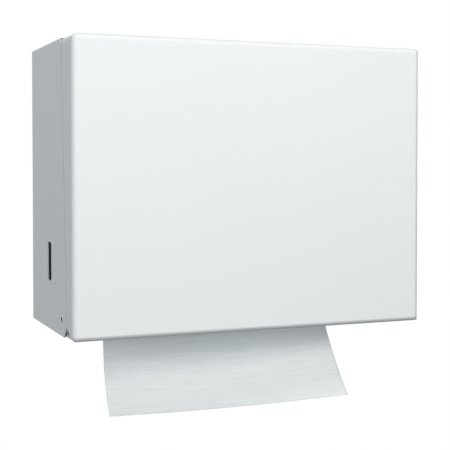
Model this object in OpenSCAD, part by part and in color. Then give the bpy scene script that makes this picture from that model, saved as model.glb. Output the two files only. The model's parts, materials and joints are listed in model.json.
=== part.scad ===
// Wall cabinet for a stack of single-fold paper towels.
// A bent sheet-steel body holds the stack on a tray with a throat, a front
// cover drops down on two pivot rivets, and a cam lock in the cover's top
// hooks behind a keeper on the body. The next towel hangs out of the throat.
// The origin is the middle of the four wall screws, on the wall face.
// +Y goes into the wall, the cover faces -Y and +Z is up.

/* [Cabinet] */
// Width across the painted sheet
cab_w = 299.5; // [285:0.5:330]
// Height of body and cover
cab_h = 230; // [222:1:270]
// Depth from the wall to the front of the cover
cab_d = 141; // [138:1:160]
// Thickness of the sheet steel
sheet_t = 1; // [0.8:0.05:1.2]
// Outer radius of the bends of the body and the tray
body_bend_r = 1.6; // [1.4:0.1:2.4]
// Depth of the lips turned in along the body's front edges
lip_d = 9; // [7.5:0.5:9.5]
// Height above the bottom edge at which the side lips start
lip_start = 26; // [24:1:40]
// Height of the cut at the lower front corner of each side
notch_h = 9.5; // [8:0.5:11]
// Depth of that cut along the bottom edge
notch_d = 9.7; // [8:0.1:12]

/* [Sight slots] */
// Length of the slot in each side
slot_len = 31; // [24:0.5:60]
// Width of that slot
slot_wid = 12.5; // [6:0.5:14]
// Distance of its middle from the wall
slot_back = 65.5; // [55:0.5:80]
// Height of its middle above the bottom edge
slot_up = 54.5; // [50:0.5:80]
// Radius of its corners
slot_corner_r = 3; // [1:0.25:4]

/* [Wall screws] */
// Distance between the two columns of screw holes
bolt_dx = 250; // [240:1:256]
// Distance between the two rows of screw holes
bolt_dz = 160; // [120:1:180]
// Radius of a screw hole
bolt_hole_r = 3.25; // [2:0.25:4]

/* [Cover] */
// Depth of the cover's side flanges at the top
flange_top_d = 33.5; // [31:0.5:36]
// Depth of the cover's side flanges at the bottom
flange_bottom_d = 16.4; // [16:0.1:18]
// Gap of the seam between cover and body
seam_gap = 1; // [0.6:0.1:1.6]
// Outer radius of the bends around the front face
front_bend_r = 3.2; // [2.4:0.1:4]
// Outer radius of the upper corners, between the top and side flanges
upper_corner_r = 5.5; // [4:0.1:7]
// Outer radius of the lower corners, between the bottom and side flanges
lower_corner_r = 3.6; // [3:0.1:4.5]
// Depth of the flange turned under the bottom
bottom_flange_d = 15; // [13:0.5:15.5]
// Length cut off each end of that flange, so that it passes the ears
flange_relief = 5.5; // [5:0.5:10]

/* [Hinge] */
// Distance of the pivot behind the front of the cover
pivot_in = 11.5; // [10.5:0.5:13]
// Height of the pivot above the bottom edge
pivot_up = 5.5; // [5.2:0.1:6.5]
// Thickness of a hinge ear
ear_t = 1.5; // [1:0.1:2]
// Step by which the ear's arm runs inside the cover's flange
ear_joggle = 0.6; // [0.5:0.05:1]
// Radius of the ear around the pivot
ear_boss_r = 4; // [3.2:0.1:4.1]
// Distance of the ear's pad behind the pivot, out of the cover's swing
ear_pad_in = 14; // [13.5:0.25:15]
// Reach of the pad behind and above its rivet
ear_pad_r = 6.5; // [5:0.5:8]
// Height of the pad's lower edge above the bottom edge
ear_pad_up = 0.3; // [0.2:0.1:1]
// Corner radius of the pad
ear_corner_r = 2; // [1:0.25:3]
// Distance of that rivet behind the body's front edge
ear_rivet_in = 15.4; // [14:0.2:18]
// Height of that rivet above the bottom edge
ear_rivet_up = 13.4; // [11:0.1:16]
// Radius of the shanks of the ear rivets and pivot rivets
rivet_r = 2; // [1.5:0.1:2]
// Radial clearance of a shank in its hole
rivet_fit = 0.05; // [0.02:0.01:0.1]
// Thickness of the washer between ear and flange
washer_t = 0.4; // [0.3:0.05:0.45]
// Outer radius of that washer
washer_r = 4; // [3.2:0.1:4.2]
// Clearance under the head of a pivot rivet
pivot_play = 0.1; // [0.05:0.05:0.3]

/* [Tray] */
// Height of the tray's floor above the bottom edge
tray_h = 10; // [9:0.5:14]
// Height of the flanges' lower edge above the bottom edge
tray_foot = 1; // [0:0.25:2]
// Distance of the tray's front behind the body's front edge
tray_set = 6; // [5:0.5:8]
// Clearance of the tray's front corners around the ears
ear_clear = 1; // [0.5:0.25:3]
// Length of the throat
throat_w = 225; // [216:1:250]
// Depth of the throat
throat_d = 56; // [44:1:60]
// Distance of the throat's middle from the wall
throat_back = 66; // [60:1:70]
// Outer radius of the throat's rolled edge
throat_roll_r = 3; // [2:0.25:4]

/* [Towels] */
// Width of a towel
towel_w = 200; // [180:1:204]
// Depth of the folded stack
stack_d = 110; // [100:1:112]
// Height of the stack
stack_h = 140; // [60:1:150]
// Thickness of one bundle of folded towels
bundle_t = 5; // [4:0.5:10]
// Clearance behind the stack, and above the hanging towel
paper_gap = 0.3; // [0.2:0.05:0.8]
// Thickness of the hanging towel
towel_t = 0.6; // [0.4:0.1:1]
// Length of the hanging towel, measured along the paper
towel_len = 89; // [60:1:120]
// Distance of the hanging towel from the wall where it leaves the stack
towel_back = 62.4; // [58:0.2:68]
// Shift of the hanging towel to the left
towel_shift = 4; // [0:0.5:6]
// Hollow across the lower edge of the hanging towel
towel_hollow = 6; // [0:0.5:10]
// Forward lean of its left edge at the top, in degrees
lean_top_left = -23; // [-25:1:0]
// Forward lean of its right edge at the top, in degrees
lean_top_right = 22; // [0:1:25]
// Forward lean of its left edge at the bottom, in degrees
lean_end_left = 27; // [20:1:40]
// Forward lean of its right edge at the bottom, in degrees
lean_end_right = 41; // [30:1:45]
// Clearance of the towel guides beside the stack
guide_gap = 2.5; // [1:0.5:4]
// Depth of a towel guide
guide_d = 45; // [30:1:55]
// Height of a towel guide
guide_h = 125; // [80:1:140]
// Width of the guide's flange on the back of the body
guide_flange_w = 12; // [8:0.5:13]
// Radius of the guide's upper front corner
guide_corner_r = 12; // [4:1:20]

/* [Lock] */
// Distance of the lock behind the front of the cover
lock_in = 21; // [19:0.5:22]
// Radius of the lock's barrel
barrel_r = 8; // [7:0.25:8.5]
// Distance between the flats of the barrel
barrel_flat = 13.5; // [12.5:0.25:15]
// Length of the barrel below the cover's top face
barrel_len = 15; // [12:0.5:15]
// Radius of the barrel's head
lock_head_r = 9.5; // [9:0.25:11]
// Thickness of that head
lock_head_t = 1; // [0.9:0.1:1.2]
// Clearance of the barrel in the cover, the washer and the nut
barrel_fit = 0.1; // [0.05:0.05:0.2]
// Thickness of the lock's washer
lock_washer_t = 0.8; // [0.5:0.1:1.5]
// Outer radius of that washer
lock_washer_r = 10.5; // [9.5:0.25:11]
// Distance across the flats of the nut
nut_flat = 19; // [18:0.5:20]
// Thickness of the nut
nut_t = 4; // [2.5:0.5:5]
// Radius of the turning plug
plug_r = 5.5; // [5:0.25:5.5]
// Radial running clearance of the plug in the barrel
plug_fit = 0.05; // [0.02:0.01:0.1]
// Radius of the plug's head
plug_head_r = 6.6; // [6.2:0.1:7]
// Thickness of the plug's head
plug_head_t = 0.6; // [0.4:0.1:0.7]
// Length of the key slot
key_len = 8; // [6:0.5:9]
// Width of the key slot
key_wid = 1.4; // [1:0.1:2]
// Depth of the key slot
key_deep = 8; // [4:0.5:9]
// Side of the square that drives the cam
tang = 7; // [6:0.25:7]
// Distance of the cam below the cover's top face
cam_drop = 16; // [15.6:0.2:18]
// Thickness of the cam
cam_t = 2; // [1.5:0.25:3]
// Radius of the cam around the plug
cam_hub_r = 7.5; // [6:0.25:8]
// Radius of the cam's free end
cam_end_r = 4.5; // [3.5:0.25:5]
// Height of the hook turned up at the cam's end
hook_h = 5.5; // [4.5:0.25:5.5]
// Clearance between the hook and the keeper's corner as the cam turns
hook_clear = 0.4; // [0.2:0.1:1.5]
// Radius of the cam screw's head
cam_screw_head_r = 3.5; // [2.5:0.25:5]
// Thickness of that head
cam_screw_head_t = 2.2; // [1.5:0.1:3]
// Radius of the cam screw
cam_screw_r = 1.5; // [1:0.1:2]
// Depth of the cam screw in the plug
cam_screw_deep = 6; // [4:0.5:6]
// Width of the slot in the cam screw's head
cam_screw_slot = 1; // [0.6:0.1:1.5]

/* [Keeper] */
// Half width of the keeper plate
keeper_half_w = 7; // [6.5:0.5:9]
// Thickness of the keeper plate
keeper_t = 1.2; // [0.8:0.1:1.5]
// Distance of the keeper's lower edge below the cabinet's top
keeper_drop = 15; // [14.5:0.1:15.4]
// Corner radius of the keeper plate
keeper_corner_r = 2; // [1:0.25:3]
// Radius of the keeper rivets
keeper_rivet_r = 1.2; // [1:0.1:1.3]
// Distance of each keeper rivet from the middle
keeper_rivet_x = 4.5; // [3:0.25:5]

/* [Hidden] */
$fn = 96;

// Colours of the painted sheet, the plated steel, the fibre washers and the paper
paint = [0.93, 0.94, 0.94];
plated = [0.72, 0.73, 0.74];
chromed = [0.84, 0.85, 0.87];
fibre = [0.32, 0.30, 0.28];
paper = [0.90, 0.91, 0.90];

// Cuts run on by this much past the faces that they open
over = 2;
// Straight sides are drawn this much inside the circles that they join
tuck = 0.02;
// Flats that make up a computed bend
bend_steps = 8;

// Outer and inner faces of the sides, and the bottom and top edges
x_out = cab_w / 2;
x_in = x_out - sheet_t;
z_bot = -cab_h / 2;
z_top = cab_h / 2;

// The body's front edge slants from the deeper bottom to the shallower top
side_top_d = cab_d - flange_top_d - seam_gap;
side_bottom_d = cab_d - flange_bottom_d - seam_gap;
seam_angle = atan((side_bottom_d - side_top_d) / cab_h);
seam_len = cab_h / cos(seam_angle);
function edge_y(z) = -side_bottom_d + (z - z_bot) * tan(seam_angle);

// Places of the pivot, the ear rivet, the lock and the tray
pivot_y = -cab_d + pivot_in;
pivot_z = z_bot + pivot_up;
ear_rivet_y = -side_bottom_d + ear_rivet_in;
ear_rivet_z = z_bot + ear_rivet_up;
lock_y = -cab_d + lock_in;
tray_z = z_bot + tray_h;
tray_front_y = -side_bottom_d + tray_set;

// Inner face of the ear's pad and both faces of its stepped-in arm
ear_pad_x = x_in - ear_t;
ear_arm_x = x_in - ear_joggle;
ear_arm_in_x = ear_arm_x - ear_t;

// A rivet's head and its set end, as multiples of the shank's radius
rivet_head_ratio = 1.55;
rivet_head_high = 0.25;
rivet_core_ratio = 0.8;
rivet_core_deep = 1.2;
// Length of the ear's step as a multiple of its height
ear_step_ratio = 4;
// Radius of a bundle's fold as a share of its thickness
fold_ratio = 0.6;

// Depth of the keeper's rear face behind the lock's axis, at the height of the hook's top
keeper_y = edge_y(z_top - cam_drop + hook_h) + (sheet_t + keeper_t) / cos(seam_angle) - lock_y;
// Distance of the hook's inner face from that axis, which clears the keeper's upright edges
hook_x = norm([keeper_half_w, keeper_y]) + hook_clear;

// A profile in (y, z) carried across the width, centred
module along_x(w) rotate([90, 0, 90]) linear_extrude(w, center = true) children();

// A profile in (x, z) carried from the wall face to the front
module along_y(d) rotate([90, 0, 0]) linear_extrude(d) children();

// The frame of the body's slanted front: y is the depth behind it, z runs up the seam
module along_seam() translate([0, -side_bottom_d, z_bot]) rotate([-seam_angle, 0, 0]) children();

// A piece for the right side, mirrored to the left where side is -1
module on_side(side) mirror([side < 0 ? 1 : 0, 0, 0]) children();

// A rectangle from lo to hi with four round corners
module round_rect(lo, hi, r) {
    translate([lo.x, lo.y + r]) square([hi.x - lo.x, hi.y - lo.y - 2 * r]);
    translate([lo.x + r, lo.y]) square([hi.x - lo.x - 2 * r, hi.y - lo.y]);
    for (x = [lo.x + r, hi.x - r], y = [lo.y + r, hi.y - r]) translate([x, y]) circle(r);
}

// A slot around the middle with half-round ends run apart, and r in radius
module stadium(run, r) {
    square([run, 2 * r], center = true);
    for (x = [-run / 2, run / 2]) translate([x, 0]) circle(r);
}

// A plate of height h around two circles and their outer tangents
module link(p, r, q, s, h) union() {
    span = norm(q - p);
    base = atan2(q.y - p.y, q.x - p.x);
    turn = acos((r - s) / span);
    up = [cos(base + turn), sin(base + turn)];
    down = [cos(base - turn), sin(base - turn)];
    translate(p) cylinder(h = h, r = r);
    translate(q) cylinder(h = h, r = s);
    linear_extrude(h)
        polygon([p + (r - tuck) * up, q + (s - tuck) * up, q + (s - tuck) * down, p + (r - tuck) * down]);
}

// Points along an arc around mid, from angle a to angle b
function arc(mid, r, a, b) = [for (i = [0:bend_steps])
    let (turn = a + (b - a) * i / bend_steps) mid + r * [cos(turn), sin(turn)]];

// A tubular rivet along x: its head seats at x = 0 and its shank runs inwards by grip
module tubular_rivet(r, grip) {
    head = r * rivet_head_ratio;
    high = r * rivet_head_high;
    core = r * rivet_core_ratio;
    edge = high / 2;
    rotate([0, 90, 0]) rotate_extrude() polygon([[0, -r * rivet_core_deep],
        [core, -r * rivet_core_deep], [core, high], [head - edge, high], [head, edge],
        [head, 0], [r, 0], [r, -grip], [head, -grip], [head, -grip - high], [0, -grip - high]]);
}

// The side view of the body, drawn in by d from its back, top and slanted front
module body_side(d, r, low) {
    depth = (d + r) / cos(seam_angle);
    high = z_top - d - r;
    polygon(concat([[-d, low], [edge_y(low) + d / cos(seam_angle), low]],
        arc([edge_y(high) + depth, high], r, 180 - seam_angle, 90),
        arc([-d - r, high], r, 90, 0)));
}

// The solid inside the body's faces, drawn in from them by d
module body_block(d, low) {
    r = body_bend_r - d;
    intersection() {
        along_y(cab_d) round_rect([-x_out + d, low - cab_h], [x_out - d, z_top - d], r);
        along_x(cab_w + over) body_side(d, r, low);
        along_seam() translate([0, 0, low - z_bot - over]) linear_extrude(seam_len + cab_h)
            round_rect([-x_out + d, d], [x_out - d, 2 * cab_d], r);
        translate([0, 0, low - over]) linear_extrude(2 * cab_h)
            round_rect([-x_out + d, -2 * cab_d], [x_out - d, -d], r);
    }
}

// The opening between the front lips, which is full width below the lips
module front_opening() along_seam() {
    lip_in = x_out - lip_d;
    translate([-lip_in, -over, -over]) cube([2 * lip_in, 2 * over + sheet_t, seam_len - lip_d + over]);
    translate([-x_in, -over, -over]) cube([2 * x_in, 2 * over + sheet_t, lip_start + over]);
}

// The cut at the lower front corners, which clears the swinging cover
module corner_notch() along_x(cab_w + over) polygon([[edge_y(z_bot + notch_h) - over, z_bot - over],
    [-side_bottom_d + notch_d, z_bot - over], [-side_bottom_d + notch_d, z_bot],
    [edge_y(z_bot + notch_h), z_bot + notch_h], [edge_y(z_bot + notch_h) - over, z_bot + notch_h]]);

// The upright sight slots with round corners, cut through both sides
module sight_slots() along_x(cab_w + over) translate([-slot_back, z_bot + slot_up])
    round_rect([-slot_wid, -slot_len] / 2, [slot_wid, slot_len] / 2, slot_corner_r);

// The places of the two keeper rivets, in the frame of the slanted front
module at_keeper_rivets() along_seam() for (side = [-1, 1])
    translate([side * keeper_rivet_x, 0, seam_len - (lip_d + body_bend_r) / 2]) children();

module cabinet_body() color(paint) difference() {
    body_block(0, z_bot);
    body_block(sheet_t, z_bot - over);
    front_opening();
    corner_notch();
    sight_slots();
    for (x = [-1, 1], z = [-1, 1]) translate([x * bolt_dx / 2, over, z * bolt_dz / 2])
        rotate([90, 0, 0]) cylinder(h = sheet_t + 2 * over, r = bolt_hole_r);
    translate([0, ear_rivet_y, ear_rivet_z]) rotate([0, 90, 0])
        cylinder(h = cab_w + over, r = rivet_r + rivet_fit, center = true);
    at_keeper_rivets() rotate([90, 0, 0])
        cylinder(h = 2 * (sheet_t + over), r = keeper_rivet_r + rivet_fit, center = true);
}

// The solid inside the inverted tray's faces, drawn in from them by d
module tray_block(d) {
    r = body_bend_r - d;
    low = z_bot - cab_h;
    intersection() {
        along_x(cab_w) round_rect([tray_front_y + d, low], [-sheet_t - d, tray_z - d], r);
        along_y(cab_d) round_rect([-x_in + d, low], [x_in - d, tray_z - d], r);
        translate([0, 0, z_bot + (d > 0 ? 0 : tray_foot)]) linear_extrude(tray_h)
            round_rect([-x_in + d, tray_front_y + d], [x_in - d, -sheet_t - d], r);
    }
}

// The throat's rolled edge: x is the distance outwards from the throat, y the height
module throat_edge() {
    translate([throat_roll_r, tray_z - throat_roll_r]) intersection() {
        difference() {
            circle(throat_roll_r);
            circle(throat_roll_r - sheet_t);
        }
        translate([-throat_roll_r, 0]) square(throat_roll_r);
    }
    translate([0, z_bot + tray_foot]) square([sheet_t, tray_h - tray_foot - throat_roll_r]);
}

module towel_tray() color(paint) {
    run = throat_w - throat_d;
    cut = throat_d / 2 + throat_roll_r;
    arm = ear_pad_x - rivet_r * rivet_head_high - ear_clear;
    difference() {
        tray_block(0);
        tray_block(sheet_t);
        translate([0, -throat_back, z_bot]) linear_extrude(cab_h) stadium(run, cut);
        for (side = [-1, 1]) on_side(side) translate([arm, tray_front_y - over, z_bot - over])
            cube([cab_w, ear_rivet_y + ear_pad_r + ear_clear - tray_front_y + over, cab_h]);
    }
    for (side = [-1, 1]) {
        translate([0, -throat_back, 0]) mirror([0, side < 0 ? 1 : 0, 0])
            along_x(run) translate([throat_d / 2, 0]) throat_edge();
        on_side(side) translate([run / 2, -throat_back, 0]) rotate([0, 0, -90])
            rotate_extrude(angle = 180) translate([throat_d / 2, 0]) throat_edge();
    }
}

// A bent guide beside the stack, with its flange on the back of the body
module towel_guide(side) color(paint) on_side(side) intersection() {
    wing_x = towel_w / 2 + guide_gap;
    translate([0, 0, tray_z]) linear_extrude(guide_h) intersection() {
        difference() {
            round_rect([wing_x, -cab_d], [cab_w, -sheet_t], body_bend_r);
            round_rect([wing_x + sheet_t, -cab_d + sheet_t], [cab_w - sheet_t, -2 * sheet_t],
                body_bend_r - sheet_t);
        }
        translate([wing_x, -sheet_t - guide_d]) square([guide_flange_w, guide_d]);
    }
    along_x(cab_w) round_rect([-sheet_t - guide_d, tray_z - cab_h], [cab_d, tray_z + guide_h],
        guide_corner_r);
}

// A hinge ear: its pad lies on the side, its arm steps in and carries the pivot
module hinge_ear(side) color(plated) on_side(side) difference() {
    step_y = ear_rivet_y - ear_pad_r;
    arm_y = step_y - ear_step_ratio * ear_joggle;
    rear_y = ear_rivet_y + ear_pad_r;
    top_z = ear_rivet_z + ear_pad_r;
    front_y = pivot_y - ear_boss_r;
    intersection() {
        translate([0, 0, z_bot]) linear_extrude(cab_h) polygon([[x_in, rear_y], [x_in, step_y],
            [ear_arm_x, arm_y], [ear_arm_x, front_y], [ear_arm_in_x, front_y],
            [ear_arm_in_x, arm_y], [ear_pad_x, step_y], [ear_pad_x, rear_y]]);
        rotate([90, 0, 90]) union() {
            link([pivot_y, pivot_z], ear_boss_r, [ear_rivet_y, ear_rivet_z], ear_pad_r - tuck, cab_w);
            linear_extrude(cab_w)
                round_rect([pivot_y + ear_pad_in, z_bot + ear_pad_up], [rear_y, top_z], ear_corner_r);
        }
    }
    for (place = [[pivot_y, pivot_z], [ear_rivet_y, ear_rivet_z]])
        translate([0, place.x, place.y]) rotate([0, 90, 0])
            cylinder(h = cab_w, r = rivet_r + rivet_fit);
}

module ear_rivet(side) color(paint) on_side(side)
    translate([x_out, ear_rivet_y, ear_rivet_z]) tubular_rivet(rivet_r, sheet_t + ear_t);

module pivot_rivet(side) color(paint) on_side(side) translate([x_out + pivot_play, pivot_y, pivot_z])
    tubular_rivet(rivet_r, pivot_play + sheet_t + ear_joggle + ear_t);

module hinge_washer(side) color(fibre) on_side(side)
    translate([ear_arm_x + (ear_joggle - washer_t) / 2, pivot_y, pivot_z]) rotate([0, 90, 0])
        difference() {
            cylinder(h = washer_t, r = washer_r);
            translate([0, 0, -over]) cylinder(h = washer_t + 2 * over, r = rivet_r + rivet_fit);
        }

module lock_keeper() color(plated) difference() {
    along_seam() translate([0, sheet_t + keeper_t, 0]) along_y(keeper_t)
        round_rect([-keeper_half_w, seam_len - keeper_drop], [keeper_half_w, seam_len - body_bend_r],
            keeper_corner_r);
    at_keeper_rivets() rotate([90, 0, 0])
        cylinder(h = cab_d, r = keeper_rivet_r + rivet_fit, center = true);
}

module keeper_rivets() color(plated) at_keeper_rivets() rotate([0, 0, -90])
    tubular_rivet(keeper_rivet_r, sheet_t + keeper_t);

// The stack of folded towels, with the round folds of its bundles at the front
module towel_stack() color(paper) along_x(towel_w) {
    rear_y = -sheet_t - paper_gap;
    front_y = rear_y - stack_d;
    count = floor(stack_h / bundle_t);
    pitch = stack_h / count;
    fold_r = pitch * fold_ratio;
    intersection() {
        translate([front_y, tray_z]) square([stack_d, stack_h]);
        union() {
            translate([front_y + fold_r, tray_z]) square([stack_d - fold_r, stack_h]);
            for (i = [0:count - 1]) translate([front_y + fold_r, tray_z + (i + 0.5) * pitch])
                circle(fold_r);
        }
    }
}

// The solid inside the cover's faces, drawn in from them by d
module cover_block(d) {
    along = front_bend_r - d;
    intersection() {
        along_y(cab_d + over) round_rect([-x_out + d, z_bot - cab_h], [x_out - d, z_top - d],
            upper_corner_r - d);
        along_y(cab_d + over) round_rect([-x_out + d, z_bot + d], [x_out - d, z_top + cab_h],
            lower_corner_r - d);
        along_x(cab_w + over) round_rect([-cab_d + d, z_bot + d], [cab_d, z_top - d], along);
        translate([0, 0, z_bot - over]) linear_extrude(cab_h + 2 * over)
            round_rect([-x_out + d, -cab_d + d], [x_out - d, cab_d], along);
    }
}

// All that lies in front of the seam
module before_seam() along_x(cab_w + 2 * over) polygon([[-cab_d - over, z_bot - over],
    [edge_y(z_bot - over) - seam_gap, z_bot - over], [edge_y(z_top + over) - seam_gap, z_top + over],
    [-cab_d - over, z_top + over]]);

// The outline of the lock's barrel, with two flats, grown by fit
module barrel_outline(fit) intersection() {
    circle(barrel_r + fit);
    square([barrel_flat + 2 * fit, 4 * barrel_r], center = true);
}

module front_cover() color(paint) difference() {
    intersection() {
        cover_block(0);
        before_seam();
    }
    cover_block(sheet_t);
    translate([-x_in, -cab_d + bottom_flange_d, z_bot - over])
        cube([2 * x_in, cab_d, lower_corner_r + over]);
    for (side = [-1, 1]) on_side(side)
        translate([x_out - flange_relief, -cab_d + front_bend_r, z_bot - over])
            cube([flange_relief - sheet_t, cab_d, lower_corner_r + over]);
    translate([0, pivot_y, pivot_z]) rotate([0, 90, 0])
        cylinder(h = cab_w + over, r = rivet_r + rivet_fit, center = true);
    translate([0, lock_y, z_top - sheet_t - over]) linear_extrude(sheet_t + 2 * over)
        barrel_outline(barrel_fit);
}

// What belongs to the lock is drawn from its axis and the cover's top face
module at_lock() translate([0, lock_y, z_top]) children();

module lock_barrel() color(chromed) at_lock() difference() {
    union() {
        cylinder(h = lock_head_t, r = lock_head_r);
        translate([0, 0, -barrel_len]) linear_extrude(barrel_len) barrel_outline(0);
    }
    translate([0, 0, -barrel_len - over]) cylinder(h = barrel_len + 2 * over, r = plug_r + plug_fit);
    translate([0, 0, lock_head_t - plug_head_t - plug_fit])
        cylinder(h = lock_head_t, r = plug_head_r + plug_fit);
}

module lock_washer() color(plated) at_lock() translate([0, 0, -sheet_t - lock_washer_t]) difference() {
    cylinder(h = lock_washer_t, r = lock_washer_r);
    translate([0, 0, -over]) cylinder(h = lock_washer_t + 2 * over, r = barrel_r + barrel_fit);
}

module lock_nut() color(plated) at_lock() translate([0, 0, -sheet_t - lock_washer_t - nut_t]) difference() {
    cylinder(h = nut_t, r = nut_flat / 2 / cos(30), $fn = 6);
    translate([0, 0, -over]) cylinder(h = nut_t + 2 * over, r = barrel_r + barrel_fit);
}

module lock_plug() color(chromed) at_lock() difference() {
    union() {
        translate([0, 0, lock_head_t - plug_head_t]) cylinder(h = plug_head_t, r = plug_head_r);
        translate([0, 0, -cam_drop]) cylinder(h = cam_drop + lock_head_t, r = plug_r);
        translate([-tang / 2, -tang / 2, -cam_drop - cam_t]) cube([tang, tang, cam_t + over]);
    }
    translate([-key_wid / 2, -key_len / 2, lock_head_t - key_deep]) cube([key_wid, key_len, key_deep + over]);
    translate([0, 0, -cam_drop - cam_t - over])
        cylinder(h = cam_screw_deep + over, r = cam_screw_r + rivet_fit);
}

// The cam points along +X when unlocked and turns by 90 degrees to hook behind the keeper
module lock_cam() color(plated) at_lock() difference() {
    intersection() {
        union() {
            translate([0, 0, -cam_drop - cam_t]) link([0, 0], cam_hub_r, [hook_x, 0], cam_end_r, cam_t);
            translate([hook_x, -cam_end_r, -cam_drop - cam_t]) cube([cam_t, 2 * cam_end_r, cam_t + hook_h]);
        }
        translate([-cam_hub_r, -cam_hub_r, -cab_h]) cube([cam_hub_r + hook_x + cam_t, 2 * cam_hub_r, cab_h]);
    }
    translate([-tang / 2, -tang / 2, -cam_drop - cam_t - over]) cube([tang, tang, cam_t + 2 * over]);
}

module cam_screw() color(plated) at_lock() translate([0, 0, -cam_drop - cam_t]) difference() {
    union() {
        translate([0, 0, -cam_screw_head_t]) cylinder(h = cam_screw_head_t, r = cam_screw_head_r);
        cylinder(h = cam_screw_deep - rivet_fit, r = cam_screw_r);
    }
    translate([0, 0, -cam_screw_head_t])
        cube([4 * cam_screw_head_r, cam_screw_slot, cam_screw_head_t], center = true);
}

// The hanging towel leans forward by an angle that grows evenly along the paper,
// more at its right edge than at its left, so that the sheet is a little twisted.
// u runs from -1 at the left edge to 1 at the right, and s from 0 to 1 along the paper.
towel_cols = 16;
towel_rows = 14;
function mix(a, b, u) = a + (b - a) * (u + 1) / 2;
function lean_top(u) = mix(lean_top_left, lean_top_right, u);
function lean_gain(u) = mix(lean_end_left, lean_end_right, u) - lean_top(u);
function reach(u) = towel_len * 180 / PI / lean_gain(u);
function lean(u, s) = lean_top(u) + lean_gain(u) * s;
function towel_point(u, s, back) = [
    -towel_shift + u * towel_w / 2,
    -towel_back - reach(u) * (cos(lean_top(u)) - cos(lean(u, s)))
        + towel_hollow * (1 - u * u) * s * s + back,
    tray_z - paper_gap - reach(u) * (sin(lean(u, s)) - sin(lean_top(u)))];

module hanging_towel() color(paper) {
    across = towel_cols + 1;
    side = across * (towel_rows + 1);
    points = [for (back = [0, towel_t], j = [0:towel_rows], i = [0:towel_cols])
        towel_point(2 * i / towel_cols - 1, j / towel_rows, back)];
    front = [for (j = [0:towel_rows - 1], i = [0:towel_cols - 1]) let (a = j * across + i)
        each [[a, a + across, a + across + 1], [a, a + across + 1, a + 1]]];
    back = [for (f = front) [f[2] + side, f[1] + side, f[0] + side]];
    rim = concat([for (i = [0:towel_cols]) i],
        [for (j = [1:towel_rows]) j * across + towel_cols],
        [for (i = [1:towel_cols]) towel_rows * across + towel_cols - i],
        [for (j = [1:towel_rows - 1]) (towel_rows - j) * across]);
    edge = [for (k = [0:len(rim) - 1]) let (a = rim[k], b = rim[(k + 1) % len(rim)])
        each [[a, b, b + side], [a, b + side, a + side]]];
    polyhedron(points, concat(front, back, edge));
}

cabinet_body();
towel_tray();
towel_guide(-1);  // left_towel_guide
towel_guide(1);  // right_towel_guide
hinge_ear(-1);  // left_hinge_ear
hinge_ear(1);  // right_hinge_ear
ear_rivet(-1);  // left_ear_rivet
ear_rivet(1);  // right_ear_rivet
pivot_rivet(-1);  // left_pivot_rivet
pivot_rivet(1);  // right_pivot_rivet
hinge_washer(-1);  // left_hinge_washer
hinge_washer(1);  // right_hinge_washer
lock_keeper();
keeper_rivets();
towel_stack();
front_cover();
lock_barrel();
lock_washer();
lock_nut();
lock_plug();
lock_cam();
cam_screw();
hanging_towel();
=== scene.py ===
# %% [markdown]
# # A wall cabinet for single-fold paper towels
# The cabinet is two bent steel pans in white enamel: a body on the wall and a cover that drops down
# on two rivets. The solids come packed from the CAD as a fixed frame, in metres, with +Z up and the
# cover facing -Y. This lesson dresses that frame: it sets the camera, paints the sheet metal and
# replaces the two plain paper solids by real folded and hanging sheets.

import json
import math

import bpy
import numpy as np
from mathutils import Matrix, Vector


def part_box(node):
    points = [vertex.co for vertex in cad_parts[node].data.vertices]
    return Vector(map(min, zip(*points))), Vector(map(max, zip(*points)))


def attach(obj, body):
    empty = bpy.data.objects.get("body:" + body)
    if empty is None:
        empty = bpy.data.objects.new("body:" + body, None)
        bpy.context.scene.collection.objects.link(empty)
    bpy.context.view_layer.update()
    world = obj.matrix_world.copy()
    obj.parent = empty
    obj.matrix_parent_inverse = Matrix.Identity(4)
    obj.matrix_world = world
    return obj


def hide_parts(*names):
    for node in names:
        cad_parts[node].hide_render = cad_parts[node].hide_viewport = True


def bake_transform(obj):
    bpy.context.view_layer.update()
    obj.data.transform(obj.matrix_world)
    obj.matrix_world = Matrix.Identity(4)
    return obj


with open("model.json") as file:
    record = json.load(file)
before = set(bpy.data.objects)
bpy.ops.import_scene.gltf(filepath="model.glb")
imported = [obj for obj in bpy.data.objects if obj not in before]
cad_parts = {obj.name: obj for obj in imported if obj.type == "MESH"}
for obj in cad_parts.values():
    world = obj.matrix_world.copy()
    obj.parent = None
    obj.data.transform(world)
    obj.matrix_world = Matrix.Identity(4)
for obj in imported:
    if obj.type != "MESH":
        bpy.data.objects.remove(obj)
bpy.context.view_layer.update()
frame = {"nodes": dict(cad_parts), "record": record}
nodes = frame["nodes"]
scene = bpy.context.scene

# %% [markdown]
# ## The camera
# The picture was taken from the left and almost level, with a long lens. The camera could be turned
# by hand until the edges agree. It is quicker to solve for it: the outline of the cabinet, with its
# rounded corners, fixes its place, its turn and its focal length of 1046 pixels on a frame of 450. The
# optical axis meets the picture 32 pixels above the middle, so the frame is shifted down by that much.

# %% Camera
PICTURE = 450
FOCAL = 1046.0
AXIS_ABOVE_MIDDLE = 32
SENSOR = 36.0
STAND = (-0.33776, -0.89891, 0.01805)
LOOK_DOWN = 1.60
LOOK_RIGHT = 22.252
lens = bpy.data.cameras.new("camera")
lens.sensor_width = SENSOR
lens.lens = FOCAL / PICTURE * SENSOR
lens.shift_y = -AXIS_ABOVE_MIDDLE / PICTURE
camera = bpy.data.objects.new("camera", lens)
scene.collection.objects.link(camera)
camera.location = STAND
camera.rotation_euler = (math.radians(90 - LOOK_DOWN), 0.0, math.radians(-LOOK_RIGHT))
scene.camera = camera
scene.view_settings.view_transform = "Standard"
print("lens:", round(lens.lens, 2), "mm")

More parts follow.
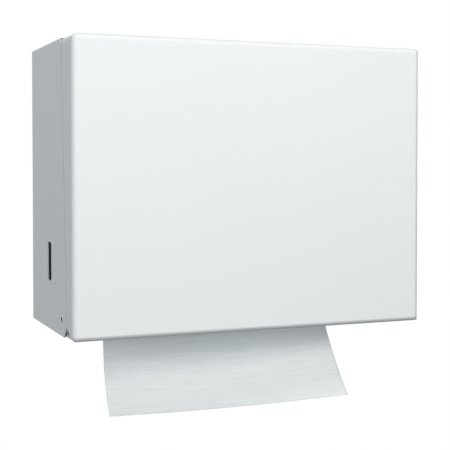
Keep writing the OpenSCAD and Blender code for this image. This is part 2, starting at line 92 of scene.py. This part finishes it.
# %% [markdown]
# ## Small helpers for shader nodes
# A material is a graph of nodes. Placing each node by hand takes many lines, so one helper places
# a node, sets its options and fills its inputs, either with a value or with another node's output.
# Three more place a Math node, a Mix node for colours and a Vector Math node. The last two start a node
# group, which is an effect that several materials share, and a material.

# %% Node helpers
def place(tree, kind, inputs=None, **options):
    """One node of that kind in the tree, with its options set and each input filled or linked."""
    made = tree.nodes.new(kind)
    for name, value in options.items():
        setattr(made, name, value)
    for key, value in (inputs or {}).items():
        if isinstance(value, bpy.types.NodeSocket):
            tree.links.new(value, made.inputs[key])
        else:
            made.inputs[key].default_value = value
    return made


def sums(tree, operation, a, b=0.0, c=0.0):
    """The output of one Math node."""
    return place(tree, "ShaderNodeMath", {0: a, 1: b, 2: c}, operation=operation).outputs[0]


def vectors(tree, operation, a, b=(0.0, 0.0, 0.0), c=(0.0, 0.0, 0.0)):
    """One Vector Math node, whose first output is a vector and whose second is a value."""
    return place(tree, "ShaderNodeVectorMath", {0: a, 1: b, 2: c}, operation=operation).outputs


def blend_colours(tree, share, a, b):
    """The colour that lies at that share of the way from a to b."""
    return place(tree, "ShaderNodeMix", {0: share, 6: a, 7: b}, data_type="RGBA").outputs[2]


def start_group(name, inputs, outputs):
    """An empty shader group, with the sockets that its inside reads and fills."""
    tree = bpy.data.node_groups.new(name, "ShaderNodeTree")
    for title, kind, value in inputs:
        tree.interface.new_socket(title, in_out="INPUT", socket_type=kind).default_value = value
    for title, kind in outputs:
        tree.interface.new_socket(title, in_out="OUTPUT", socket_type=kind)
    return tree, tree.nodes.new("NodeGroupInput").outputs, tree.nodes.new("NodeGroupOutput").inputs


def start_material(name):
    """A material with one Principled BSDF on its output."""
    material = bpy.data.materials.new(name)
    material.use_nodes = True
    tree = material.node_tree
    tree.nodes.clear()
    shader = tree.nodes.new("ShaderNodeBsdfPrincipled")
    place(tree, "ShaderNodeOutputMaterial", {"Surface": shader.outputs[0]})
    return material, tree, shader


FLOAT = "NodeSocketFloat"
VECTOR = "NodeSocketVector"
print("helpers ready")

# %% [markdown]
# ## Soft edges
# Enamel and plating never leave a knife edge: they round it, and they wear there first. The edges
# could be bevelled in the mesh, but a CAD node's mesh stays as it is. A Bevel node bends
# the normals near an edge instead. Where they differ from the face's own, there is an edge, and noise
# breaks up that mask so that the wear isn't even. On the white enamel the same mask darkens the edges,
# partly for a thin coat and partly as painted shade.

# %% Group: soft edge
EDGE_GAIN = 5.0
soft_edge, get, put = start_group(
    "soft_edge",
    [("Radius", FLOAT, 0.0005), ("Breaks", FLOAT, 400.0)],
    [("Edge", FLOAT), ("Normal", VECTOR)],
)
rounded = place(soft_edge, "ShaderNodeBevel", {"Radius": get["Radius"]}, samples=6)
facing = place(soft_edge, "ShaderNodeNewGeometry").outputs["Normal"]
agree = vectors(soft_edge, "DOT_PRODUCT", rounded.outputs[0], facing)["Value"]
bent = sums(soft_edge, "SUBTRACT", 1.0, agree)
here = place(soft_edge, "ShaderNodeTexCoord").outputs["Object"]
broken = place(soft_edge, "ShaderNodeTexNoise", {"Vector": here, "Scale": get["Breaks"], "Detail": 3.0})
patchy = sums(soft_edge, "MULTIPLY", sums(soft_edge, "MULTIPLY", bent, EDGE_GAIN), broken.outputs[0])
edge_mask = place(soft_edge, "ShaderNodeClamp", {0: patchy}).outputs[0]
soft_edge.links.new(edge_mask, put["Edge"])
soft_edge.links.new(rounded.outputs[0], put["Normal"])
print("group:", soft_edge.name)

# %% [markdown]
# ## The skin of baked enamel
# Sprayed and baked paint has a faint orange peel: low bumps two or three millimetres across, with a
# finer grain on them. A sculpted surface would need millions of faces for that, so it is noise that
# drives a Bump node. A much slower noise changes tone and gloss a little from place to place.

# %% Group: enamel skin
GRAIN_SHARE = 0.25
enamel_skin, get, put = start_group(
    "enamel_skin",
    [("Peel", FLOAT, 420.0), ("Grain", FLOAT, 2300.0), ("Drift", FLOAT, 9.0)],
    [("Height", FLOAT), ("Tone", FLOAT)],
)
here = place(enamel_skin, "ShaderNodeTexCoord").outputs["Object"]
peel = place(enamel_skin, "ShaderNodeTexNoise", {"Vector": here, "Scale": get["Peel"], "Detail": 1.0})
grain = place(enamel_skin, "ShaderNodeTexNoise", {"Vector": here, "Scale": get["Grain"], "Detail": 2.0})
drift = place(enamel_skin, "ShaderNodeTexNoise", {"Vector": here, "Scale": get["Drift"], "Detail": 3.0})
height = sums(enamel_skin, "MULTIPLY_ADD", grain.outputs[0], GRAIN_SHARE, peel.outputs[0])
enamel_skin.links.new(height, put["Height"])
enamel_skin.links.new(drift.outputs[0], put["Tone"])
print("group:", enamel_skin.name)

# %% [markdown]
# ## White enamel
# The body, the cover, the tray and the guides are all painted in one cool white. Its colour and its gloss
# drift by a few hundredths. Its edges are a touch darker, partly for a thin coat and partly as painted
# shade. Along the seam between the two pans a dark line of painted shade stands for the shade in the
# narrow gap. The seam lies in a slanted plane, and a mask of the distance from that plane finds it on
# the sides and the top.

# %% Material: white enamel
COAT_LOW = (0.806, 0.820, 0.812, 1)
COAT_HIGH = (0.834, 0.846, 0.838, 1)
# Edge grey: partly a thin coat, partly painted shade along the edges.
THIN_COAT_AND_SHADE = (0.46, 0.48, 0.49, 1)
THIN_AND_SHADE_SHARE = 0.6
# Seam colour: painted shade for the narrow gap between the two pans.
SEAM_SHADE = (0.22, 0.23, 0.24, 1)
SEAM_Y = -0.11555
SEAM_SLOPE = 0.07435
SEAM_HALF = 0.0006
SEAM_FADED = 0.0010
SHEET_IN = 0.0015
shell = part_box("cabinet_body")[1]
white_enamel, tree, shader = start_material("white_enamel")
skin = place(tree, "ShaderNodeGroup", node_tree=enamel_skin)
edge = place(tree, "ShaderNodeGroup", node_tree=soft_edge)
edge.inputs["Radius"].default_value = 0.0006
coat = blend_colours(tree, skin.outputs["Tone"], COAT_LOW, COAT_HIGH)
thin_and_shaded = blend_colours(tree, sums(tree, "MULTIPLY", edge.outputs["Edge"], THIN_AND_SHADE_SHARE), coat, THIN_COAT_AND_SHADE)
here = place(tree, "ShaderNodeTexCoord").outputs["Object"]
spot = place(tree, "ShaderNodeSeparateXYZ", {0: here}).outputs
# The seam mask paints shade into the colour along the gap between the pans.
line = sums(tree, "MULTIPLY_ADD", spot["Z"], SEAM_SLOPE, SEAM_Y)
away = sums(tree, "ABSOLUTE", sums(tree, "SUBTRACT", spot["Y"], line))
near = place(tree, "ShaderNodeMapRange", {0: away, 1: SEAM_HALF, 2: SEAM_FADED, 3: 1.0, 4: 0.0})
at_side = sums(tree, "GREATER_THAN", sums(tree, "ABSOLUTE", spot["X"]), shell.x - SHEET_IN)
at_top = sums(tree, "GREATER_THAN", spot["Z"], shell.z - SHEET_IN)
seam = sums(tree, "MULTIPLY", near.outputs[0], sums(tree, "MAXIMUM", at_side, at_top))
seam_shaded = blend_colours(tree, seam, thin_and_shaded, SEAM_SHADE)
gloss = place(tree, "ShaderNodeMapRange", {0: skin.outputs["Tone"], 3: 0.46, 4: 0.58})
shader.inputs["Specular IOR Level"].default_value = 0.08
tree.links.new(seam_shaded, shader.inputs["Base Color"])
tree.links.new(gloss.outputs[0], shader.inputs["Roughness"])
print("material:", white_enamel.name)

# %% [markdown]
# ## Rounder bends
# The bends around the front are rounder in the picture than in the solid. A wider bevel in the mesh would
# change the CAD node, so only the shading changes: near the front it takes its normals from a box
# with wider rounded edges. The nearest point of an inner box is the point itself, held between the inner
# box's corners, and the normal leads from there to the surface. A tiny step keeps it from being zero inside
# the inner box. Surfaces that face another way, such as the inside of the cover, keep their own normals.

# %% Normals of the bends
EASE = 0.0040
LEAN_OUT = 0.62
NEVER_ZERO = 0.000002
SAME_WAY = 0.6
cover_low, cover_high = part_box("front_cover")
inner_low = (cover_low.x + EASE, cover_low.y + EASE, cover_low.z + EASE)
inner_high = (cover_high.x - EASE, cover_high.y, shell.z - EASE)
core = vectors(tree, "MAXIMUM", vectors(tree, "MINIMUM", here, inner_high)[0], inner_low)[0]
outward = vectors(tree, "SUBTRACT", here, core)[0]
leaning = vectors(tree, "MULTIPLY_ADD", outward, (1.0, LEAN_OUT, 1.0), (0.0, -NEVER_ZERO, 0.0))[0]
eased = place(
    tree, "ShaderNodeVectorTransform", {0: leaning},
    vector_type="NORMAL", convert_from="OBJECT", convert_to="WORLD",
).outputs[0]
true = place(tree, "ShaderNodeNewGeometry").outputs["True Normal"]
outside = sums(tree, "GREATER_THAN", vectors(tree, "DOT_PRODUCT", eased, true)["Value"], SAME_WAY)
at_bends = sums(tree, "LESS_THAN", spot["Y"], cover_low.y + EASE + SHEET_IN)
shaped = place(
    tree, "ShaderNodeMix",
    {0: sums(tree, "MULTIPLY", outside, at_bends), 4: edge.outputs["Normal"], 5: eased}, data_type="VECTOR",
).outputs[1]
bump = place(
    tree, "ShaderNodeBump",
    {"Strength": 0.12, "Distance": 0.0002, "Height": skin.outputs["Height"], "Normal": shaped},
)
tree.links.new(bump.outputs[0], shader.inputs["Normal"])
print("bends eased to", EASE, "m")

# %% [markdown]
# ## Tubular rivets
# Ear and pivot rivets are painted with the sheet, and each head shows as a dark dot: the shade inside
# the tube's mouth, painted into the colour over steel that is bare where the coat breaks on the rolled
# mouth. The tube is there in the solid. A second material on the faces of the mouth would end in a hard
# line. Instead a copy of the enamel gets a mask of the distance from the two rivets' axes and fades into
# a near-black for bare steel with its shade painted in.

# %% Material: rivet enamel
MOUTH_R = 0.0016
COATED_R = 0.0021
# Near-black of the mouth: bare steel with the tube's shade painted in.
BARE_STEEL_AND_SHADE = (0.04, 0.041, 0.044, 1)
rivet_enamel = white_enamel.copy()
rivet_enamel.name = "rivet_enamel"
tree = rivet_enamel.node_tree
here = place(tree, "ShaderNodeTexCoord").outputs["Object"]
flat = vectors(tree, "MULTIPLY", here, (0.0, 1.0, 1.0))[0]
off_axis = []
for name in ("left_ear_rivet", "left_pivot_rivet"):
    low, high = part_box(name)
    axis = (0.0, 0.5 * (low.y + high.y), 0.5 * (low.z + high.z))
    off_axis.append(vectors(tree, "DISTANCE", flat, axis)["Value"])
nearest = sums(tree, "MINIMUM", off_axis[0], off_axis[1])
coated = place(
    tree, "ShaderNodeMapRange", {0: nearest, 1: MOUTH_R, 2: COATED_R}, interpolation_type="SMOOTHSTEP",
)
paint = next(node for node in tree.nodes if node.type == "BSDF_PRINCIPLED")
coat = paint.inputs["Base Color"].links[0].from_socket
mouth_shaded = blend_colours(tree, coated.outputs[0], BARE_STEEL_AND_SHADE, coat)
tree.links.new(mouth_shaded, paint.inputs["Base Color"])
print("material:", rivet_enamel.name)

# %% [markdown]
# ## Plated metal
# The keeper, its rivets, the nut and the cam are zinc plated, and the lock is chromed. The ears have a
# zinc in a dark grey that is partly painted shade, since they show only in a narrow notch. All are metal
# with a fine grain and a slow cloudiness, which three separate materials could each build. One group and
# one function serve them instead, coarse and dull for zinc, fine and bright for chrome, so that they stay
# alike.

# %% Group and materials: plating
WORN_BRIGHT = (0.88, 0.88, 0.87, 1)
plating, get, put = start_group(
    "plating",
    [("Grain", FLOAT, 1500.0), ("Cloud", FLOAT, 160.0)],
    [("Grain", FLOAT), ("Cloud", FLOAT)],
)
here = place(plating, "ShaderNodeTexCoord").outputs["Object"]
fine = place(plating, "ShaderNodeTexNoise", {"Vector": here, "Scale": get["Grain"], "Detail": 4.0})
slow = place(plating, "ShaderNodeTexNoise", {"Vector": here, "Scale": get["Cloud"], "Detail": 2.0})
plating.links.new(fine.outputs[0], put["Grain"])
plating.links.new(slow.outputs[0], put["Cloud"])


def plated_metal(name, dark, bright, rough, grain, cloud, depth):
    """A metal whose cloudiness runs from dark to bright and from the first roughness to the second."""
    material, tree, shader = start_material(name)
    coat = place(tree, "ShaderNodeGroup", node_tree=plating)
    coat.inputs["Grain"].default_value = grain
    coat.inputs["Cloud"].default_value = cloud
    edge = place(tree, "ShaderNodeGroup", node_tree=soft_edge)
    edge.inputs["Radius"].default_value = 0.0003
    colour = blend_colours(tree, coat.outputs["Cloud"], dark, bright)
    shine = blend_colours(tree, edge.outputs["Edge"], colour, WORN_BRIGHT)
    gloss = place(tree, "ShaderNodeMapRange", {0: coat.outputs["Cloud"], 3: rough[0], 4: rough[1]})
    bump = place(tree, "ShaderNodeBump", {"Strength": 0.2, "Distance": depth})
    tree.links.new(coat.outputs["Grain"], bump.inputs["Height"])
    tree.links.new(edge.outputs["Normal"], bump.inputs["Normal"])
    shader.inputs["Metallic"].default_value = 1.0
    tree.links.new(shine, shader.inputs["Base Color"])
    tree.links.new(gloss.outputs[0], shader.inputs["Roughness"])
    tree.links.new(bump.outputs[0], shader.inputs["Normal"])
    return material


zinc = plated_metal(
    "zinc_plate", dark=(0.42, 0.43, 0.45, 1), bright=(0.62, 0.63, 0.64, 1),
    rough=(0.30, 0.48), grain=1500.0, cloud=220.0, depth=0.00004,
)
chrome = plated_metal(
    "lock_chrome", dark=(0.66, 0.67, 0.69, 1), bright=(0.80, 0.81, 0.83, 1),
    rough=(0.08, 0.16), grain=4000.0, cloud=130.0, depth=0.00001,
)
# The ears' dark grey is partly painted shade, for the narrow notch where they show.
shaded_ear_zinc = plated_metal(
    "ear_zinc_with_shade", dark=(0.12, 0.124, 0.128, 1), bright=(0.20, 0.204, 0.208, 1),
    rough=(0.42, 0.60), grain=1500.0, cloud=220.0, depth=0.00004,
)
print("materials:", zinc.name, chrome.name, shaded_ear_zinc.name)

# %% [markdown]
# ## Vulcanised fibre
# The thin washers between ear and cover are pressed fibre: dark, dry and flecked. They hardly show, so
# one stretched noise gives the flecks and the bumps together, where drawn fibres would be wasted.

# %% Material: fibre
FIBRE_DARK = (0.045, 0.035, 0.028, 1)
FIBRE_LIGHT = (0.16, 0.13, 0.10, 1)
pressed_fibre, tree, shader = start_material("pressed_fibre")
here = place(tree, "ShaderNodeTexCoord").outputs["Object"]
drawn = place(tree, "ShaderNodeMapping", {"Vector": here, "Scale": (900.0, 260.0, 2200.0)})
fleck = place(tree, "ShaderNodeTexNoise", {"Vector": drawn.outputs[0], "Scale": 1.0, "Detail": 5.0})
flecked = blend_colours(tree, fleck.outputs[0], FIBRE_DARK, FIBRE_LIGHT)
tree.links.new(flecked, shader.inputs["Base Color"])
bump = place(tree, "ShaderNodeBump", {"Strength": 0.4, "Distance": 0.00005, "Height": fleck.outputs[0]})
tree.links.new(bump.outputs[0], shader.inputs["Normal"])
shader.inputs["Roughness"].default_value = 0.85
print("material:", pressed_fibre.name)

# %% [markdown]
# ## Creped paper
# Towel paper is scraped off its drying drum, which leaves fine crossways ridges. On the hanging towel
# they show as thin lines from edge to edge. They are too fine to be folds in the mesh, so they are a
# pattern. They follow the sheet and not the room, so the pattern reads the sheet's own UV map, which
# is laid out in metres: noise that is stretched across the paper and tight along it. A second, rounder
# noise is the cloudiness of the fibres.

# %% Group and material: creped paper
PAPER_LOW = (0.854, 0.880, 0.880, 1)
PAPER_HIGH = (0.958, 0.972, 0.968, 1)
RIDGE_SHARE = 0.82
crepe, get, put = start_group(
    "crepe",
    [("Ridges", FLOAT, 800.0), ("Run", FLOAT, 24.0)],
    [("Height", FLOAT), ("Cloud", FLOAT)],
)
flat = place(crepe, "ShaderNodeUVMap", uv_map="paper").outputs[0]
parts = place(crepe, "ShaderNodeSeparateXYZ", {0: flat})
across = sums(crepe, "MULTIPLY", parts.outputs["X"], get["Run"])
along = sums(crepe, "MULTIPLY", parts.outputs["Y"], get["Ridges"])
drawn = place(crepe, "ShaderNodeCombineXYZ", {0: across, 1: along})
ridge = place(crepe, "ShaderNodeTexNoise", {"Vector": drawn.outputs[0], "Scale": 1.0, "Detail": 3.0})
cloud = place(crepe, "ShaderNodeTexNoise", {"Vector": flat, "Scale": 900.0, "Detail": 4.0})
crepe.links.new(ridge.outputs[0], put["Height"])
crepe.links.new(cloud.outputs[0], put["Cloud"])

towel_paper, tree, shader = start_material("towel_paper")
ridges = place(tree, "ShaderNodeGroup", node_tree=crepe)
fibres = sums(tree, "MULTIPLY", ridges.outputs["Cloud"], 1 - RIDGE_SHARE)
mixed = sums(tree, "MULTIPLY_ADD", ridges.outputs["Height"], RIDGE_SHARE, fibres)
spread = place(tree, "ShaderNodeMapRange", {0: mixed, 1: 0.3, 2: 0.7})
tree.links.new(blend_colours(tree, spread.outputs[0], PAPER_LOW, PAPER_HIGH), shader.inputs["Base Color"])
bump = place(tree, "ShaderNodeBump", {"Strength": 0.35, "Distance": 0.0002, "Height": mixed})
tree.links.new(bump.outputs[0], shader.inputs["Normal"])
shader.inputs["Roughness"].default_value = 0.95
shader.inputs["Specular IOR Level"].default_value = 0.2
print("material:", towel_paper.name)

# %% [markdown]
# ## Painting the CAD nodes
# The solids of the sheet metal, the hinge and the lock have the right shape already, so they stay and
# only get materials. Each could be named here by hand. The record already names a finish for each, so that
# name picks the material, and only the ears and the tubular rivets differ from it.

# %% Finishes by slot
FINISHES = {
    "white_paint": white_enamel,
    "plated_steel": zinc,
    "chromed_lock": chrome,
    "fibre": pressed_fibre,
    "towel_paper": towel_paper,
}
for part in frame["record"]["subparts"]:
    node = nodes[part["node"]]
    node.data.materials.clear()
    node.data.materials.append(FINISHES[part["material_slot"]])
for side in ("left", "right"):
    nodes[side + "_hinge_ear"].data.materials[0] = shaded_ear_zinc
    nodes[side + "_ear_rivet"].data.materials[0] = rivet_enamel
    nodes[side + "_pivot_rivet"].data.materials[0] = rivet_enamel

# %% [markdown]
# ## From a grid of points to a mesh
# A sheet is a function of two parameters. A loop over its points would be slow, so Numpy works it out for
# the whole grid at once, and this helper turns the grid into quads, with a UV map in metres for the
# paper's pattern.

# %% Mesh helper
def build_mesh(name, points, faces, flat, material):
    """An object of those points and faces, with the flat place of each point as its UV map."""
    mesh = bpy.data.meshes.new(name)
    mesh.from_pydata(points.reshape(-1, 3).tolist(), [], faces)
    corner = np.zeros(len(mesh.loops), np.int32)
    mesh.loops.foreach_get("vertex_index", corner)
    places = flat.reshape(-1, 2)[corner].astype(np.float32)
    mesh.uv_layers.new(name="paper").data.foreach_set("uv", places.ravel())
    mesh.materials.append(material)
    mesh.shade_smooth()
    made = bpy.data.objects.new(name, mesh)
    scene.collection.objects.link(made)
    return made


def quads(index):
    """The quads between neighbours of an index grid, whose last two axes are its rows and columns."""
    a, b = index[..., :-1, :-1], index[..., :-1, 1:]
    c, d = index[..., 1:, 1:], index[..., 1:, :-1]
    return np.stack([a, d, c, b], -1).reshape(-1, 4)


print("mesh helper ready")

# %% [markdown]
# ## The hanging towel
# One leaf of the next towel hangs out of the throat. It comes out nearly upright and bends forward as
# it falls, more at its right edge than at its left, so the sheet is twisted a little, and the middle of
# its lower edge lags behind. Cloth simulation could drop a sheet there, but it wouldn't land on the
# photographed curve. A formula does: the forward lean grows evenly along the paper, so each
# upright line of the sheet is an arc of a circle and keeps its length.

# %% Hanging towel
LEAF_W = 0.1999
LEAF_L = 0.0890
LEAF_X = -0.00365
LEAF_Y = -0.0624
SIDEWAYS = 0.0034
TOP_LEAN = -0.54
TOP_TWIST = 22.7
END_LEAN = 34.0
END_TWIST = 7.0
LAG = 0.0062
RIPPLE = 0.0004
PLY = 0.00025
leaf_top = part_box("hanging_towel")[1].z


def hanging_leaf(u, s):
    """The point at u across, from -1 to 1, and s along the paper, from 0 at the throat to 1.

    With the lean a at the top, b at the end and k = b - a, the lean at s is a + k s. Integrating its
    cosine and sine gives y = y0 - L (cos a - cos(a + k s)) / k and z = z0 - L (sin(a + k s) - sin a) / k.
    Both leans are straight lines in u. The lag and a slight ripple are added to y, and grow with s.
    """
    start = np.radians(TOP_LEAN + TOP_TWIST * u)
    turn = np.radians(END_LEAN + END_TWIST * u) - start
    lean = start + turn * s
    lag = LAG * (1 - u * u) * s * s
    ripple = RIPPLE * s * np.sin(9.0 * u + 2.0 * s) * (0.3 + u * u)
    x = LEAF_X + 0.5 * LEAF_W * u + SIDEWAYS * s
    y = LEAF_Y - LEAF_L / turn * (np.cos(start) - np.cos(lean)) + lag + ripple
    z = leaf_top - LEAF_L / turn * (np.sin(lean) - np.sin(start))
    return np.stack([x, y, z], -1)


rows, columns = 61, 121
s, u = np.meshgrid(np.linspace(0, 1, rows), np.linspace(-1, 1, columns), indexing="ij")
leaf_points = hanging_leaf(u, s)
leaf_flat = np.stack([0.5 * LEAF_W * u, LEAF_L * s], -1)
leaf_faces = quads(np.arange(rows * columns).reshape(rows, columns))
leaf = build_mesh("next_towel_leaf", leaf_points, leaf_faces.tolist(), leaf_flat, towel_paper)
ply = leaf.modifiers.new("ply", "SOLIDIFY")
ply.thickness = PLY
ply.offset = 0.0
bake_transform(leaf)
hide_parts("hanging_towel")

# %% [markdown]
# ## The stack of folded towels
# Inside lie 175 towels, each folded once, fold to the front. One block with a line pattern
# would look solid when the cover is open. Here each towel is its own flat tube: a profile with a round
# nose at the fold and two leaf edges at the back, carried across the width. All towels are one array,
# and each is set back, shifted and cut short by its own seeded amount, as in a hand-filled stack.

# %% Towel stack
COUNT = 175
NOSE = 7
STATIONS = 9
FILL = 0.48
NOTCH = 0.0006
SAG = 0.0012
SET_BACK = 0.0008
WAVE = 0.0004
SHIFT = 0.0006
NARROW = 0.0006
NARROW_SPREAD = 0.0003
SHORT = 0.0012
SEED = 11
PATTERN_STEP = 0.3
CREASE = 40
low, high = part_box("towel_stack")
pitch = (high.z - low.z) / COUNT
luck = np.random.default_rng(SEED)
set_back = SET_BACK * luck.random(COUNT) + WAVE * (1 + np.sin(np.arange(COUNT) * 0.21))
shift = SHIFT * (2 * luck.random(COUNT) - 1)
narrow = NARROW + NARROW_SPREAD * luck.random(COUNT)
short = SHORT * luck.random(COUNT)


def folded_towels():
    """Points of all towels, as an array of towel, station across the width and place around the profile.

    Around the profile: along the lower leaf to the nose, half a circle of radius FILL pitch about the
    nose's centre, back along the upper leaf, and a small notch at the rear between the leaves. The sag
    grows with the square of the height in the stack and follows a cosine across the width.
    """
    half = FILL * pitch
    turn = np.linspace(-0.5 * np.pi, 0.5 * np.pi, NOSE)
    nose_y = low.y + half + set_back
    rear_y = high.y - short
    y = np.concatenate([
        rear_y[:, None],
        nose_y[:, None] - half * np.cos(turn)[None, :],
        rear_y[:, None],
        rear_y[:, None] - NOTCH,
    ], axis=1)
    level = np.concatenate([[-half], half * np.sin(turn), [half], [0.0]])
    z = low.z + (np.arange(COUNT)[:, None] + 0.5) * pitch + level[None, :]
    across = np.linspace(-1, 1, STATIONS)
    x = shift[:, None] + across[None, :] * (0.5 * (high.x - low.x) - np.abs(shift) - narrow)[:, None]
    rise = (np.arange(COUNT) / COUNT) ** 2
    sag = 0.5 * SAG * rise[:, None] * (1 - np.cos(2.2 * across + 0.6)[None, :])
    shape = (COUNT, STATIONS, y.shape[1])
    return np.stack([
        np.broadcast_to(x[:, :, None], shape),
        np.broadcast_to(y[:, None, :], shape),
        z[:, None, :] - sag[:, :, None],
    ], -1)


towels = folded_towels()
around = towels.shape[2]
index = np.arange(COUNT * STATIONS * around).reshape(COUNT, STATIONS, around)
skin_faces = quads(np.concatenate([index, index[..., :1]], axis=-1))
ends = np.concatenate([index[:, 0, :], index[:, -1, ::-1]])
steps = np.linalg.norm(np.diff(towels, axis=2), axis=-1)
length = np.concatenate([np.zeros((COUNT, STATIONS, 1)), np.cumsum(steps, axis=2)], axis=2)
stack_flat = np.stack([towels[..., 0], length + PATTERN_STEP * np.arange(COUNT)[:, None, None]], -1)
stack = build_mesh("folded_towel_stack", towels, skin_faces.tolist() + ends.tolist(), stack_flat, towel_paper)
stack.data.set_sharp_from_angle(angle=math.radians(CREASE))
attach(stack, "cabinet")
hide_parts("towel_stack")
print("stack:", COUNT, "towels,", len(stack.data.polygons), "faces")

# %% [markdown]
# ## Floor, light and background
# The object was photographed against pure white. More light would make a white background, but it would
# wash out the object too. Here it comes from the kind of ray: what the camera or a reflection sees of the
# world is white, and what lights the object is a weak, faintly blue sky. The floor lies far below, as under
# a cabinet on a wall. It is pale to the camera and grey to the rays that gather light, so little light comes
# from below and the cover's bottom bend stays dark. It keeps the object's shadow.

# %% Floor
FLOOR_Z = -1.2
FLOOR_HALF = 2.0
FLOOR_GREY = (0.22, 0.22, 0.22, 1)
PALE_SHARE = 0.88
WHITE = (1, 1, 1, 1)
corners = FLOOR_HALF * np.array([[-1, -1], [1, -1], [1, 1], [-1, 1]])
floor_points = np.column_stack([corners, np.full(len(corners), FLOOR_Z)])
floor_mesh = bpy.data.meshes.new("floor")
floor_mesh.from_pydata(floor_points.tolist(), [], [(0, 1, 2, 3)])
floor = bpy.data.objects.new("floor", floor_mesh)
scene.collection.objects.link(floor)


def seen_directly(tree):
    """1 for rays from the camera, a reflection or a clear body, and 0 for rays that gather light."""
    path = place(tree, "ShaderNodeLightPath")
    either = sums(tree, "MAXIMUM", path.outputs["Is Camera Ray"], path.outputs["Is Glossy Ray"])
    return sums(tree, "MAXIMUM", either, path.outputs["Is Transmission Ray"])


pale = bpy.data.materials.new("pale_floor")
pale.use_nodes = True
tree = pale.node_tree
tree.nodes.clear()
matt = place(tree, "ShaderNodeBsdfDiffuse", {"Color": FLOOR_GREY})
glow = place(tree, "ShaderNodeEmission", {"Color": WHITE, "Strength": 1.0})
share = sums(tree, "MULTIPLY", seen_directly(tree), PALE_SHARE)
both = place(tree, "ShaderNodeMixShader", {0: share, 1: matt.outputs[0], 2: glow.outputs[0]})
place(tree, "ShaderNodeOutputMaterial", {"Surface": both.outputs[0]})
floor_mesh.materials.append(pale)
print("floor at", FLOOR_Z)

# %% World
SKY = 0.12
SKY_BLUE = (0.74, 0.93, 1.0, 1)
world = bpy.data.worlds.new("studio")
scene.world = world
world.use_nodes = True
tree = world.node_tree
tree.nodes.clear()
plain = place(tree, "ShaderNodeBackground", {"Color": SKY_BLUE, "Strength": SKY})
white = place(tree, "ShaderNodeBackground", {"Color": WHITE, "Strength": 1.0})
both = place(tree, "ShaderNodeMixShader", {0: seen_directly(tree), 1: plain.outputs[0], 2: white.outputs[0]})
place(tree, "ShaderNodeOutputWorld", {"Surface": both.outputs[0]})
print("sky:", SKY)

# %% [markdown]
# ## Soft boxes
# A sun would give hard shadows that the picture doesn't have, so all lamps are square area lights. A large
# cool one in front lights the cover. A small warm key above it makes the cover brightest at the top and
# leaves the towel's upper end in shade. One overhead lights the top bend, and two cool ones at the left
# light the side. The last one, at the right and behind, lights the back and the right side, which this
# picture doesn't show, and brightens the bend at the right edge.

# %% Soft boxes
AIM = Vector((0.0, -0.1, 0.0))
COOL = (0.92, 0.95, 1.0)
WARM = (1.0, 0.95, 0.86)


def soft_box(name, spot, size, power, colour=(1.0, 1.0, 1.0)):
    """A square area light at spot, turned to the cabinet, that the camera doesn't see itself."""
    lamp = bpy.data.lights.new(name, "AREA")
    lamp.shape = "SQUARE"
    lamp.size = size
    lamp.energy = power
    lamp.color = colour
    box = bpy.data.objects.new(name, lamp)
    scene.collection.objects.link(box)
    box.location = spot
    box.rotation_euler = (AIM - Vector(spot)).to_track_quat("-Z", "Y").to_euler()
    box.visible_camera = False


soft_box("front_box", (0.25, -2.6, 0.3), 1.2, 23.8, COOL)
soft_box("key_box", (-0.12, -1.4, 0.5), 0.3, 5.1, WARM)
soft_box("top_box", (0.0, -0.7, 1.0), 0.6, 5.4)
soft_box("left_box", (-1.9, -1.2, 0.3), 0.8, 12.0, COOL)
soft_box("rear_left_box", (-1.2, 0.4, 0.5), 0.6, 2.8, COOL)
soft_box("back_box", (1.7, 1.4, 0.35), 0.9, 36.0)
